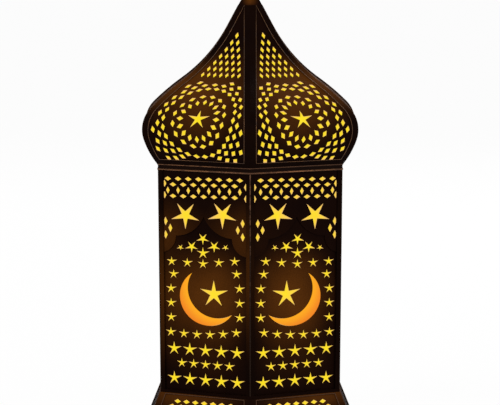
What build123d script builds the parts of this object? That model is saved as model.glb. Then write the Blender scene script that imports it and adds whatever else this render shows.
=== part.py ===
from build123d import *

import os
from math import atan2, cos, degrees, hypot, radians, sin, tan

# A six-sided pierced sheet-metal lantern with an ogee dome, a hinged door and a battery candle.
# Millimetres and degrees. Z is up, the origin is at the bottom centre, one corner points to -Y.

# Plan: faces and corners anticlockwise from +X, and the face that opens
face_names = ["right", "back_right", "back_left", "left", "front_left", "front_right"]
corner_names = ["right_back", "back", "left_back", "left_front", "front", "right_front"]
door_face = "back_right"

# Feet, base plate and plinth
foot_height = 6.0
foot_diameter = 18.0
foot_inset = 11.0
base_plate_thickness = 2.0
plinth_height = 8.0
plinth_bar = 5.0
plinth_lip = 1.0
boss_diameter = 14.0
foot_screw_diameter = 3.0
foot_screw_depth = 5.0
foot_screw_head = 6.0
foot_screw_head_height = 2.0
foot_recess = 3.5

# Skirt
skirt_height = 34.0
skirt_flare = 21.5
skirt_top_border = 1.0
skirt_first_row = 7.7
skirt_row_pitch = 5.0
skirt_column_pitch = 9.7
skirt_rows = 5
skirt_margin = 8.0

# Body
body_height = 217.0
body_side_top = 100.0
body_side_base = 97.6
bottom_frame_height = 3.0
cornice_height = 4.8
frame_width = 14.0
frame_lip = 0.4

# Sheet metal, panes and fits
sheet = 1.0
pane = 1.5
slot_play = 0.1
edge_play = 0.3
pane_play = 0.2
seam = 0.2
seat_play = 0.1

# Corner posts
post_leg = 4.5
post_stop = 8.0
post_web = 2.0

# Dome outline: the angle at its foot, then arcs of flank, bulge, shoulder and neck, then the throat
dome_foot_angle = 52.2
flank_radius = 80.5
flank_turn = 19.0
bulge_radius = 28.4
bulge_turn = 63.5
shoulder_radius = 238.0
shoulder_turn = 8.7
neck_radius = 153.5
neck_turn = 25.4
throat_run = 23.5
rib_width = 6.5
rib_thickness = 0.8
hem_height = 6.0

# Cut-out shapes
motif_stretch = 1.15
star_waist = 0.27
diamond_length = 7.8
diamond_width = 4.4
field_margin = 3.2

# Grid that a wall's pattern is set out on: columns across its top edge and rows up its height
grid_columns = 100
grid_rows = 217

# Stars of the lower field, in grid units; each row is a step above the one before it
medium_star = 6.9
small_star = 4.1
field_star = 5.9
row_star = 7.8
medallion_star = 14.4
lower_row_height = 14.2
middle_row_step = 14.9
upper_row_step = 13.3
wide_row_stars = 5
wide_row_pitch = 17.2
narrow_row_stars = 5
narrow_row_pitch = 13.0
six_row_step = 15.0
six_row_stars = 6
six_row_pitch = 14.3
six_row_bow = 0.36
column_step = 16.5
column_reach = 37.4
column_pitch = 13.7
column_stars = 4
arch_row_step = 9.5
arch_row_stars = 5
arch_row_pitch = 17.2
arch_row_rise = 1.2
crest_step = 23.7
crest_shoulder_drop = 7.4
crest_shoulder_reach = 12.3
crest_end_drop = 8.2
crest_end_reach = 24.6
crest_upright_drop = 13.5

# Pattern set off the middle of a wall, in grid units: how far it stands away from the corner that
# two mirrored walls share, and how much it rises towards that corner
row_drift = 1.1
crest_drift = 3.2
crest_tilt = 0.05
plate_drift = 1.4
plate_tilt = 0.02

# Crescent and the star that it holds, in grid units
crescent_radius = 27.0
crescent_reach = 2.4
crescent_step = 35.8
crescent_shift = 7.7
medallion_star_reach = 8.4
medallion_star_step = 3.4

# Arch opening, in grid units, and how far the panel behind it runs on
arch_cusp_step = 1.8
arch_cusp_reach = 30.7
arch_apex_step = 19.4
arch_foil = 16.5
arch_overlap = 2.5

# Large stars, corner diamonds and diamond band of the arch plate, in grid units
arch_star_radius = 14.6
arch_star_step = 1.3
arch_star_spread = 20.2
spandrel_rise = 7.6
spandrel_reach = 42.0
spandrel_step = 6.4
spandrel_inset = 5.2
spandrel_diamond_length = 9.2
spandrel_diamond_width = 4.9
band_step = 33.6
band_row_pitch = 5.45
band_column_pitch = 11.2
band_columns = 8
band_end_reach = 44.2
band_turns = [0, 0, 90, 0]

# Dome pattern, measured up the outer skin from its foot
lattice_rows = 7
lattice_first_row = 106.0
lattice_row_pitch = 7.9
lattice_column_pitch = 6.6
lattice_diamond_length = 8.2
lattice_diamond_width = 4.4
rosette_height = 48.8
rosette_star = 11.2
inner_ring_radius = 19.6
inner_ring_pitch = 7.5
inner_ring_count = 16
inner_rings = 2
outer_ring_radius = 37.8
outer_ring_pitch = 5.6
outer_ring_count = 26
outer_rings = 5
ring_diamond_length = 8.0
ring_diamond_width = 5.0
rosette_margin = 1.9
rosette_limit = 97.0

# Crown, finial and hanging ring
crown_height = 12.0
crown_plug = 6.0
stud_diameter = 5.0
nut_flats = 8.0
nut_sides = 6
nut_height = 4.0
finial_flange_diameter = 9.4
finial_flange_height = 2.0
finial_ball_diameter = 17.0
eye_radius = 3.7
eye_wire = 3.0
ring_radius = 13.0
ring_wire = 3.0
ring_rest_angle = 160.5

# Door
door_gap = 0.3
door_stile = 4.0
door_rail = 3.5
knob_diameter = 9.0
knob_stem_diameter = 3.0
knob_stand = 5.0
knob_height = 109.0
strike_width = 8.0
strike_height = 12.0
catch_width = 6.0
catch_height = 12.0
catch_depth = 5.0
catch_tab = 3.0
catch_tab_thickness = 1.5

# Hinges
hinge_heights = [44.0, 174.0]
knuckle_diameter = 4.8
knuckle_length = 7.0
knuckle_gap = 0.3
knuckle_stand = 0.2
pin_diameter = 2.4
pin_play = 0.08
pin_head = 1.0
leaf_thickness = 0.8
leaf_reach = 4.3
leaf_setback = 0.8

# Battery candle
cell_diameter = 14.5
cell_length = 50.5
cell_count = 3
cell_play = 0.4
box_wall = 2.0
cover_lip = 4.0
cover_thickness = 1.5
cup_diameter = 62.0
cup_rim = 6.0
cup_wall = 1.5
candle_diameter = 50.0
candle_height = 90.0
candle_wall = 3.0
candle_top = 10.0
board_thickness = 1.6
led_diameter = 5.0
led_height = 15.0
flame_diameter = 17.0
flame_foot = 12.0
flame_belly = 7.0
flame_height = 28.0
lead_diameter = 1.4
lead_spacing = 5.0
lead_hole = 12.0

# Slide switch under the base plate
switch_offset = 45.0
switch_length = 18.0
switch_width = 9.0
switch_height = 6.0
slider_travel = 4.0
slider_stem_length = 4.0
slider_stem_width = 3.0
slider_stem_depth = 3.0
slider_pad_length = 6.0
slider_pad_height = 2.0
slider_play = 0.2

# Angles of the plan
sides = len(face_names)
face_step = 360 / sides
half_step = face_step / 2
half_tan = tan(radians(half_step))
half_cos = cos(radians(half_step))
door_index = face_names.index(door_face)
hinge_corner = door_index
latch_corner = (door_index - 1) % sides

# Levels
z_base_plate = foot_height
z_plinth = z_base_plate + base_plate_thickness
z_skirt = z_plinth + plinth_height
z_body = z_skirt + skirt_height
z_wall = z_body + bottom_frame_height
z_dome = z_body + body_height
z_cornice = z_dome - cornice_height

# Body taper and the layers of a wall, as depths behind its outer plane
top_apothem = body_side_top / 2 / half_tan
base_apothem = body_side_base / 2 / half_tan
wall_slant = hypot(body_height, top_apothem - base_apothem)
wall_lean = degrees(atan2(top_apothem - base_apothem, body_height))
arch_front = sheet + slot_play
panel_front = arch_front + sheet
pane_front = panel_front + sheet
pane_back = pane_front + pane
stop_front = pane_back + slot_play
stop_back = stop_front + sheet
wall_low = bottom_frame_height + seat_play
wall_high = wall_slant - cornice_height - seat_play

# Heights of the wall's pattern, in grid rows, and the size of a grid unit each way
middle_row_height = lower_row_height + middle_row_step
upper_row_height = middle_row_height + upper_row_step
six_row_height = upper_row_height + six_row_step
crescent_height = six_row_height + crescent_step
medallion_star_height = crescent_height + medallion_star_step
column_top = six_row_height + column_step + (column_stars - 1) * column_pitch
arch_row_height = column_top + arch_row_step
crest_height = arch_row_height + crest_step
arch_cusp_height = crest_height + arch_cusp_step
arch_apex = arch_cusp_height + arch_apex_step
arch_star_height = arch_apex + arch_star_step
spandrel_height = arch_cusp_height + spandrel_rise
band_top = arch_star_height + band_step
grid_run = body_side_top / grid_columns
grid_rise = body_height / grid_rows
foil_radius = arch_foil * grid_rise
arch_foot = arch_cusp_height * grid_rise - foil_radius

# Skirt and plinth sizes
skirt_apothem = base_apothem + skirt_height * tan(radians(skirt_flare))
skirt_slant = skirt_height / cos(radians(skirt_flare))
plinth_apothem = skirt_apothem + plinth_lip
plan_reach = 2 * plinth_apothem

os.makedirs("parts", exist_ok=True)


# Shared shapes


def star_corners(across, height, radius, inverted=False):
    """Corners of a five-pointed star, drawn wide by the motif stretch."""
    first = -90 if inverted else 90
    corners = []
    for index in range(10):
        reach = radius if index % 2 == 0 else radius * star_waist
        angle = radians(first + 36 * index)
        corners.append((across + motif_stretch * reach * cos(angle), height + reach * sin(angle)))
    return corners


def diamond_corners(across, height, length, width, direction):
    """Corners of a diamond whose long diagonal points in a direction, in degrees from across."""
    along = Vector(cos(radians(direction)), sin(radians(direction))) * (length / 2)
    beside = Vector(-sin(radians(direction)), cos(radians(direction))) * (width / 2)
    middle = Vector(across, height)
    corners = [middle + along, middle + beside, middle - along, middle - beside]
    return [(corner.X, corner.Y) for corner in corners]


def outline_faces(outlines):
    """Flat faces for many outlines, ready to be added to a sketch or cut from it at once."""
    return [Polygon(*corners, align=None, mode=Mode.PRIVATE) for corners in outlines]


def set_off(across, height, hand, drift, tilt=0.0):
    """Place moved away from the corner that mirrored walls share and raised towards it."""
    return across - hand * drift, height + hand * tilt * across


def on_wall(outlines):
    """Outlines drawn on the grid, in millimetres on a wall."""
    return [
        [(across * grid_run, height * grid_rise) for across, height in corners] for corners in outlines
    ]


def mirrored_row(count, pitch):
    """Evenly spaced places of a row centred on zero."""
    return [(index - (count - 1) / 2) * pitch for index in range(count)]


def wall_plane(angle, depth=0.0):
    """Plane of a body wall: x runs to the right seen from outside, y up the wall, z out of it."""
    out = Vector(cos(radians(angle)), sin(radians(angle)), 0)
    lean = radians(wall_lean)
    normal = out * cos(lean) - Vector(0, 0, sin(lean))
    foot = out * base_apothem + Vector(0, 0, z_body)
    plane = Plane(origin=foot, x_dir=(-out.Y, out.X, 0), z_dir=normal)
    return plane.offset(-depth)


def wall_half_width(height):
    """Half the width of the body's outer face at a height up the wall."""
    return (body_side_base + (body_side_top - body_side_base) * height / wall_slant) / 2


def wall_outline(depth, play, low=wall_low, high=wall_high):
    """Corners of a wall layer that reaches a depth and clears the webs of the posts."""
    inset = depth * half_tan + post_web / 2 / half_cos + play
    low_half = wall_half_width(low) - inset
    high_half = wall_half_width(high) - inset
    return [(-low_half, low), (low_half, low), (high_half, high), (-high_half, high)]


def hexagon(apothem, mode=Mode.ADD):
    """Plan of the lantern in the current sketch, with a face to +X."""
    RegularPolygon(apothem, sides, major_radius=False, rotation=half_step, mode=mode)


def trim_to_face(low, high, gap):
    """Keep the part of the current solid that belongs to the +X face between two levels."""
    start = gap / 2 / sin(radians(half_step))
    edge = (plan_reach - start) * half_tan
    with BuildSketch(Plane.XY.offset(low)) as sector:
        Polygon((start, 0), (plan_reach, -edge), (plan_reach, edge), align=None)
    extrude(sector.sketch, amount=high - low, mode=Mode.INTERSECT)


def open_half_window(low, high, border):
    """Cut the window of the half face on the +Y side, leaving a border along the corner."""
    start = border / half_tan
    edge = plan_reach * half_tan - border
    with BuildSketch(Plane.XY.offset(low)) as window:
        Polygon((start, 0), (plan_reach, 0), (plan_reach, edge), align=None)
    extrude(window.sketch, amount=high - low, mode=Mode.SUBTRACT)


def keep_half_face(low, high):
    """Keep the half of the +X face that lies on the +Y side between two levels."""
    with BuildSketch(Plane.XY.offset(low)) as half:
        Polygon((0, 0), (plan_reach, 0), (plan_reach, plan_reach * half_tan), align=None)
    extrude(half.sketch, amount=high - low, mode=Mode.INTERSECT)


corner_mirror = Plane(
    origin=(0, 0, 0),
    x_dir=(0, 0, 1),
    z_dir=(-sin(radians(half_step)), cos(radians(half_step)), 0),
)


# Wall patterns


def plate_diamond(across, height, hand, length, width, turn):
    """Corners of a diamond of the arch plate."""
    return diamond_corners(*set_off(across, height, hand, plate_drift, plate_tilt), length, width, turn)


def arch_plate_cutouts(hand):
    """Diamond band, large stars and corner diamonds of the arch plate; hand mirrors the setting-off."""
    cutouts = []
    for row, turn in enumerate(band_turns):
        height = band_top - row * band_row_pitch
        count = band_columns if row % 2 == 0 else band_columns - 1
        for across in mirrored_row(count, band_column_pitch):
            cutouts.append(plate_diamond(across, height, hand, diamond_length, diamond_width, turn))
        if row % 2 == 1:
            for across in (-band_end_reach, band_end_reach):
                cutouts.append(diamond_corners(across, height, diamond_length, diamond_width, 90))
    for side in (-1, 1):
        middle = set_off(side * arch_star_spread, arch_star_height, hand, plate_drift, crest_tilt)
        cutouts.append(star_corners(*middle, arch_star_radius, inverted=True))
        for level in (-1, 0, 1):
            inset = 0 if level else spandrel_inset
            across = side * (spandrel_reach - inset)
            height = spandrel_height + level * spandrel_step
            cutouts.append(
                plate_diamond(across, height, hand, spandrel_diamond_length, spandrel_diamond_width, 90)
            )
    return on_wall(cutouts)


def crest_star(across, height, hand, radius, inverted=False):
    """Corners of a star of the crest or of the ring around the crescent."""
    return star_corners(*set_off(across, height, hand, crest_drift, crest_tilt), radius, inverted)


def row_star_corners(across, height, hand, radius, tilt=0.0):
    """Corners of a star of the lower rows or of the columns."""
    return star_corners(*set_off(across, height, hand, row_drift, tilt), radius)


def star_panel_cutouts(hand):
    """Stars of the lower field; hand mirrors the star in the crescent and the setting-off."""
    cutouts = [
        crest_star(0, crest_height, hand, medium_star, inverted=True),
        crest_star(0, crest_height - crest_upright_drop, hand, medium_star),
        star_corners(hand * medallion_star_reach, medallion_star_height, medallion_star),
    ]
    for side in (-1, 1):
        shoulder = crest_height - crest_shoulder_drop
        end = crest_height - crest_end_drop
        cutouts.append(crest_star(side * crest_shoulder_reach, shoulder, hand, medium_star, inverted=True))
        cutouts.append(crest_star(side * crest_end_reach, end, hand, small_star, inverted=True))
        for index in range(column_stars):
            height = column_top - index * column_pitch
            reach = column_reach if index else arch_row_pitch * 2
            cutouts.append(row_star_corners(side * reach, height, hand, field_star, crest_tilt))
    for across in mirrored_row(arch_row_stars, arch_row_pitch):
        rise = arch_row_rise * abs(across) / arch_row_pitch
        cutouts.append(crest_star(across, arch_row_height + rise, hand, field_star))
    for across in mirrored_row(six_row_stars, six_row_pitch):
        rise = six_row_bow * (across / six_row_pitch) ** 2
        cutouts.append(crest_star(across, six_row_height + rise, hand, field_star))
    for across in mirrored_row(wide_row_stars, wide_row_pitch):
        cutouts.append(row_star_corners(across, upper_row_height, hand, row_star))
        cutouts.append(row_star_corners(across, lower_row_height, hand, row_star))
    for across in mirrored_row(narrow_row_stars, narrow_row_pitch):
        cutouts.append(row_star_corners(across, middle_row_height, hand, field_star))
    return on_wall(cutouts)


def crescent_sketch(hand, play):
    """Crescent that opens towards the upper side, drawn wide by the motif stretch."""
    across = hand * crescent_reach
    shift = hand * crescent_shift * motif_stretch
    middle = (across * grid_run, crescent_height * grid_rise)
    hollow = ((across + shift) * grid_run, (crescent_height + crescent_shift) * grid_rise)
    run = crescent_radius * grid_run
    rise = crescent_radius * grid_rise
    with BuildSketch() as crescent:
        with Locations(middle):
            Ellipse((run - play) * motif_stretch, rise - play)
        with Locations(hollow):
            Ellipse((run + play) * motif_stretch, rise + play, mode=Mode.SUBTRACT)
    return crescent.sketch


# Wall layers, each made on the +X face


def arch_edges(hand, overlap):
    """Edges of the cusped arch opening, grown by an overlap."""
    middle = -hand * plate_drift * grid_run
    foot_reach = arch_cusp_reach * grid_run + foil_radius
    foot = arch_foot + overlap
    with BuildLine() as arch:
        foil = JernArc((middle + foot_reach, foot), (-1, 0), foil_radius - overlap, -90)
        cusp = foil @ 1
        if overlap:
            cusp = Line(cusp, cusp + (0, overlap)) @ 1
        TangentArc(cusp, (middle, arch_apex * grid_rise + overlap), tangent=(-1, 0))
        mirror(about=Plane.YZ.offset(middle))
        Line((middle - foot_reach, foot), (middle + foot_reach, foot))
    return arch.edges()


def arch_plate_blank(hand, play, high):
    """Upper wall plate with the cusped arch cut from its lower edge."""
    depth = arch_front + sheet
    opening = arch_edges(hand, 0)
    piercing = outline_faces(arch_plate_cutouts(hand))
    with BuildPart() as plate:
        with BuildSketch(wall_plane(0, depth)):
            Polygon(*wall_outline(depth, play, low=arch_foot, high=high), align=None)
            make_face(opening, mode=Mode.SUBTRACT)
            add(piercing, mode=Mode.SUBTRACT)
        extrude(amount=sheet)
    return plate.part


def star_panel_blank(hand, play, low):
    """Lower wall panel, arched to fill the opening of the arch plate, with stars and a crescent."""
    depth = panel_front + sheet
    shoulder = arch_foot + arch_overlap
    outline = arch_edges(hand, arch_overlap)
    piercing = outline_faces(star_panel_cutouts(hand))
    moon = crescent_sketch(hand, 0.0)
    with BuildPart() as panel:
        with BuildSketch(wall_plane(0, depth)):
            make_face(outline)
            Polygon(*wall_outline(depth, 0, low=low, high=shoulder), align=None)
            Polygon(*wall_outline(depth, play, low=low), align=None, mode=Mode.INTERSECT)
            add(piercing, mode=Mode.SUBTRACT)
            add(moon, mode=Mode.SUBTRACT)
        extrude(amount=sheet)
    return panel.part


def crescent_pane_blank(hand):
    """Orange pane that fills the crescent."""
    moon = crescent_sketch(hand, pane_play)
    with BuildPart() as inlay:
        with BuildSketch(wall_plane(0, panel_front + sheet)):
            add(moon)
        extrude(amount=sheet)
    return inlay.part


def wall_pane_blank(play, low, high):
    """Amber pane behind a wall."""
    with BuildPart() as backing:
        with BuildSketch(wall_plane(0, pane_back)):
            Polygon(*wall_outline(pane_back, play, low=low, high=high), align=None)
        extrude(amount=pane)
    return backing.part


def hand_of(index):
    """Neighbouring faces mirror each other, so that two crescents always face one corner."""
    return 1 if index % 2 == 0 else -1


# Base plate, plinth and feet

foot_circle = plinth_apothem / half_cos - foot_inset / half_cos
box_inner_length = cell_length + 2 * cell_play
box_inner_width = cell_count * (cell_diameter + cell_play) + cell_play
box_inner_height = cell_diameter + 2 * cell_play
slot_length = slider_stem_length + slider_travel + 2 * slider_play
slot_width = slider_stem_width + 2 * slider_play

with BuildPart() as base_plate:
    with BuildSketch(Plane.XY.offset(z_base_plate)):
        hexagon(plinth_apothem)
        Rectangle(box_inner_length, box_inner_width, mode=Mode.SUBTRACT)
        with PolarLocations(foot_circle, sides, start_angle=half_step):
            Circle(foot_screw_diameter / 2 + slot_play, mode=Mode.SUBTRACT)
        with Locations((0, -switch_offset)):
            Rectangle(slot_length, slot_width, mode=Mode.SUBTRACT)
    extrude(amount=base_plate_thickness)
base_plate.part.label = "base_plate"
export_step(base_plate.part, "parts/base_plate.step")

with BuildPart() as plinth:
    with BuildSketch(Plane.XY.offset(z_plinth)):
        hexagon(plinth_apothem)
        hexagon(plinth_apothem - plinth_bar, mode=Mode.SUBTRACT)
        with PolarLocations(foot_circle, sides, start_angle=half_step):
            Circle(boss_diameter / 2)
        hexagon(plinth_apothem, mode=Mode.INTERSECT)
    extrude(amount=plinth_height)
    with BuildSketch(Plane.XY.offset(z_plinth)):
        with PolarLocations(foot_circle, sides, start_angle=half_step):
            Circle(foot_screw_diameter / 2 + slot_play)
    extrude(amount=foot_screw_depth + seat_play, mode=Mode.SUBTRACT)
plinth.part.label = "plinth"
export_step(plinth.part, "parts/plinth.step")

with BuildPart() as feet:
    with BuildSketch():
        with PolarLocations(foot_circle, sides, start_angle=half_step):
            Circle(foot_diameter / 2)
            Circle(foot_screw_diameter / 2 + slot_play, mode=Mode.SUBTRACT)
    extrude(amount=foot_height)
    with BuildSketch():
        with PolarLocations(foot_circle, sides, start_angle=half_step):
            Circle(foot_screw_head / 2 + edge_play)
    extrude(amount=foot_recess, mode=Mode.SUBTRACT)
feet.part.label = "feet"
export_step(feet.part, "parts/feet.step")

with BuildPart() as foot_screws:
    with BuildSketch(Plane.XY.offset(foot_recess - foot_screw_head_height)):
        with PolarLocations(foot_circle, sides, start_angle=half_step):
            Circle(foot_screw_head / 2)
    extrude(amount=foot_screw_head_height)
    with BuildSketch(Plane.XY.offset(foot_recess)):
        with PolarLocations(foot_circle, sides, start_angle=half_step):
            Circle(foot_screw_diameter / 2)
    extrude(amount=z_plinth + foot_screw_depth - foot_recess)
foot_screws.part.label = "foot_screws"
export_step(foot_screws.part, "parts/foot_screws.step")

# Skirt: flared panels, a rib cage over their seams and an amber lining

skirt_wide = 1 / cos(radians(skirt_flare))


def skirt_level(slope):
    """Level of a place measured down the skirt from the body."""
    return z_body - slope * cos(radians(skirt_flare))


def draw_skirt_section(front, back):
    """Section of a skirt layer between two depths behind its outer plane."""
    with BuildSketch(Plane.XZ) as section:
        Polygon(
            (base_apothem - front * skirt_wide, z_body),
            (skirt_apothem - front * skirt_wide, z_skirt),
            (skirt_apothem - back * skirt_wide, z_skirt),
            (base_apothem - back * skirt_wide, z_body),
            align=None,
        )
    extrude(section.sketch, amount=plan_reach / 2, both=True)


def skirt_cutouts():
    """Staggered rows of diamonds on a skirt panel, as places across and levels."""
    cutouts = []
    for row in range(skirt_rows):
        slope = skirt_first_row + row * skirt_row_pitch
        half_width = (base_apothem + slope * sin(radians(skirt_flare))) * half_tan
        limit = half_width - rib_width - skirt_margin
        columns = int(2 * limit / skirt_column_pitch) + 1
        count = columns - (columns + row + 1) % 2
        for across in mirrored_row(count, skirt_column_pitch):
            corners = diamond_corners(across, slope, diamond_length, diamond_width, 0)
            cutouts.append([(place, skirt_level(down)) for place, down in corners])
    return cutouts


with BuildPart() as skirt_panel:
    draw_skirt_section(0, sheet)
    trim_to_face(z_skirt, z_body, seam)
    with BuildSketch(Plane.YZ):
        add(outline_faces(skirt_cutouts()))
    extrude(amount=plan_reach, mode=Mode.SUBTRACT)

with BuildPart() as skirt_panels:
    with PolarLocations(0, sides):
        add(skirt_panel.part)
skirt_panels.part.label = "skirt_panels"
export_step(skirt_panels.part, "parts/skirt_panels.step")

with BuildPart() as skirt_rib:
    draw_skirt_section(-rib_thickness, 0)
    keep_half_face(z_skirt, z_body)
    open_half_window(
        skirt_level(skirt_slant - hem_height), skirt_level(skirt_top_border), rib_width
    )
    mirror(about=corner_mirror)

with BuildPart() as skirt_ribs:
    with PolarLocations(0, sides):
        add(skirt_rib.part)
skirt_ribs.part.label = "skirt_ribs"
export_step(skirt_ribs.part, "parts/skirt_ribs.step")

with BuildPart() as skirt_pane:
    draw_skirt_section(sheet + slot_play, sheet + slot_play + pane)
    trim_to_face(z_skirt, z_body, seam)

with BuildPart() as skirt_panes:
    with PolarLocations(0, sides):
        add(skirt_pane.part)
skirt_panes.part.label = "skirt_panes"
export_step(skirt_panes.part, "parts/skirt_panes.step")

# Body frames and corner posts

with BuildPart() as bottom_frame:
    with BuildSketch(Plane.XY.offset(z_body)):
        hexagon(base_apothem + frame_lip)
        hexagon(base_apothem - frame_width, mode=Mode.SUBTRACT)
    extrude(amount=bottom_frame_height)
bottom_frame.part.label = "bottom_frame"
export_step(bottom_frame.part, "parts/bottom_frame.step")

with BuildPart() as cornice:
    with BuildSketch(Plane.XY.offset(z_cornice)):
        hexagon(top_apothem + frame_lip)
        hexagon(top_apothem - frame_width, mode=Mode.SUBTRACT)
    extrude(amount=cornice_height)
cornice.part.label = "cornice"
export_step(cornice.part, "parts/cornice.step")

corner_slope = (top_apothem - base_apothem) / half_cos / body_height
corner_low = base_apothem / half_cos + corner_slope * bottom_frame_height
post_run = (z_cornice - z_wall) * hypot(1, corner_slope)


def leg_corners(hand, front, back, width):
    """Plan of one leg of a post on the +X corner, between two depths behind the wall's plane."""
    normal = Vector(half_cos, hand * sin(radians(half_step)))
    along = Vector(-sin(radians(half_step)), hand * half_cos)
    end = Vector(corner_low, 0) + along * width
    front_tip = Vector(corner_low - front / half_cos, 0)
    back_tip = Vector(corner_low - back / half_cos, 0)
    corners = [front_tip, end - normal * front, end - normal * back, back_tip]
    return [(corner.X, corner.Y) for corner in corners]


def post_blank(outer_hands):
    """Slotted corner post on the +X corner, with outer legs on the given sides."""
    web_tip = corner_low - post_web / 2 * half_tan
    web_root = corner_low - stop_back / half_cos
    with BuildPart() as post:
        with BuildSketch(Plane.XY.offset(z_wall)):
            for hand in outer_hands:
                Polygon(*leg_corners(hand, 0, sheet, post_leg), align=None)
            for hand in (-1, 1):
                Polygon(*leg_corners(hand, stop_front, stop_back, post_stop), align=None)
            with Locations(((web_tip + web_root) / 2, 0)):
                Rectangle(web_tip - web_root, post_web)
        extrude(amount=post_run, dir=(corner_slope, 0, 1))
    return post.part


post_kinds = {hinge_corner: [1], latch_corner: [-1]}
for index, corner in enumerate(corner_names):
    blank = post_blank(post_kinds.get(index, [-1, 1]))
    with BuildPart() as corner_post:
        add(blank, rotation=(0, 0, half_step + index * face_step))
    corner_post.part.label = f"corner_post_{corner}"
    export_step(corner_post.part, f"parts/corner_post_{corner}.step")

# Fixed walls

fixed_faces = [index for index in range(sides) if index != door_index]
arch_blanks = {hand: arch_plate_blank(hand, edge_play, wall_high) for hand in (-1, 1)}
panel_blanks = {hand: star_panel_blank(hand, edge_play, wall_low) for hand in (-1, 1)}
inlay_blanks = {hand: crescent_pane_blank(hand) for hand in (-1, 1)}
backing_blank = wall_pane_blank(edge_play, wall_low, wall_high)

for index in fixed_faces:
    turn = (0, 0, index * face_step)
    with BuildPart() as arch_plate:
        add(arch_blanks[hand_of(index)], rotation=turn)
    arch_plate.part.label = f"arch_plate_{face_names[index]}"
    export_step(arch_plate.part, f"parts/arch_plate_{face_names[index]}.step")
    with BuildPart() as star_panel:
        add(panel_blanks[hand_of(index)], rotation=turn)
    star_panel.part.label = f"star_panel_{face_names[index]}"
    export_step(star_panel.part, f"parts/star_panel_{face_names[index]}.step")

with BuildPart() as crescent_panes:
    for index in fixed_faces:
        add(inlay_blanks[hand_of(index)], rotation=(0, 0, index * face_step))
crescent_panes.part.label = "crescent_panes"
export_step(crescent_panes.part, "parts/crescent_panes.step")

with BuildPart() as wall_panes:
    for index in fixed_faces:
        add(backing_blank, rotation=(0, 0, index * face_step))
wall_panes.part.label = "wall_panes"
export_step(wall_panes.part, "parts/wall_panes.step")

# Door, made on the +X face and turned to its place

door_turn = (0, 0, door_index * face_step)
door_low = wall_low + door_gap
door_high = wall_high - door_gap
door_hand = hand_of(door_index)
stile_edge = sheet * half_tan + post_web / 2 / half_cos + door_gap
strike_level = middle_row_height * grid_rise
stop_end = post_stop - wall_half_width(strike_level - strike_height / 2)

light_low = door_low + door_rail
light_high = door_high - door_rail
with BuildPart() as door_frame_blank:
    with BuildSketch(wall_plane(0, sheet)):
        Polygon(*wall_outline(sheet, door_gap, low=door_low, high=door_high), align=None)
        Polygon(
            *wall_outline(sheet, door_gap + door_stile, low=light_low, high=light_high),
            align=None,
            mode=Mode.SUBTRACT,
        )
    extrude(amount=sheet)
with BuildPart() as door_frame:
    add(door_frame_blank.part, rotation=door_turn)
door_frame.part.label = "door_frame"
export_step(door_frame.part, "parts/door_frame.step")

door_arch_blank = arch_plate_blank(door_hand, door_gap, door_high)
with BuildPart() as door_arch_plate:
    add(door_arch_blank, rotation=door_turn)
door_arch_plate.part.label = "door_arch_plate"
export_step(door_arch_plate.part, "parts/door_arch_plate.step")

door_panel_blank = star_panel_blank(door_hand, door_gap, door_low)
with BuildPart() as door_star_panel:
    add(door_panel_blank, rotation=door_turn)
door_star_panel.part.label = "door_star_panel"
export_step(door_star_panel.part, "parts/door_star_panel.step")

with BuildPart() as door_crescent_pane:
    add(inlay_blanks[door_hand], rotation=door_turn)
door_crescent_pane.part.label = "door_crescent_pane"
export_step(door_crescent_pane.part, "parts/door_crescent_pane.step")

with BuildPart() as door_pane_blank:
    with BuildSketch(wall_plane(0, pane_back)):
        Polygon(*wall_outline(pane_back, door_gap, low=door_low, high=door_high), align=None)
        with Locations((stop_end, strike_level)):
            Rectangle(
                2 * (strike_width + pane_play), strike_height + 2 * pane_play, mode=Mode.SUBTRACT
            )
    extrude(amount=pane)
with BuildPart() as door_pane:
    add(door_pane_blank.part, rotation=door_turn)
door_pane.part.label = "door_pane"
export_step(door_pane.part, "parts/door_pane.step")

with BuildPart() as strike_blank:
    with BuildSketch(wall_plane(0, pane_back)):
        with Locations((stop_end, strike_level)):
            Rectangle(strike_width, strike_height, align=(Align.MIN, Align.CENTER))
    extrude(amount=pane)
with BuildPart() as door_strike:
    add(strike_blank.part, rotation=door_turn)
door_strike.part.label = "door_strike"
export_step(door_strike.part, "parts/door_strike.step")

with BuildPart() as catch_blank:
    with BuildSketch(wall_plane(0, stop_front + catch_depth)):
        with Locations((stop_end, strike_level)):
            Rectangle(catch_width, catch_height, align=(Align.MIN, Align.CENTER))
    extrude(amount=catch_depth)
    with BuildSketch(wall_plane(0, stop_back + slot_play + catch_tab_thickness)):
        with Locations((stop_end - catch_tab, strike_level)):
            Rectangle(catch_tab + catch_width, catch_height, align=(Align.MIN, Align.CENTER))
    extrude(amount=catch_tab_thickness)
with BuildPart() as magnet_catch:
    add(catch_blank.part, rotation=door_turn)
magnet_catch.part.label = "magnet_catch"
export_step(magnet_catch.part, "parts/magnet_catch.step")

knob_level = knob_height * grid_rise
knob_reach = wall_half_width(knob_level) - stile_edge - door_stile / 2
with BuildPart() as knob_blank:
    with BuildSketch(wall_plane(0)):
        with Locations((-knob_reach, knob_level)):
            Circle(knob_stem_diameter / 2)
    extrude(amount=knob_stand)
    ball_place = wall_plane(0).from_local_coords((-knob_reach, knob_level, knob_stand))
    with Locations(ball_place):
        Sphere(knob_diameter / 2)
    with BuildSketch(wall_plane(0)):
        with Locations((-knob_reach, knob_level)):
            Circle(knob_diameter)
    extrude(amount=-knob_diameter, mode=Mode.SUBTRACT)
with BuildPart() as door_knob:
    add(knob_blank.part, rotation=door_turn)
door_knob.part.label = "door_knob"
export_step(door_knob.part, "parts/door_knob.step")

# Hinges, made on the +X corner and turned to the door's corner

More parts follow.
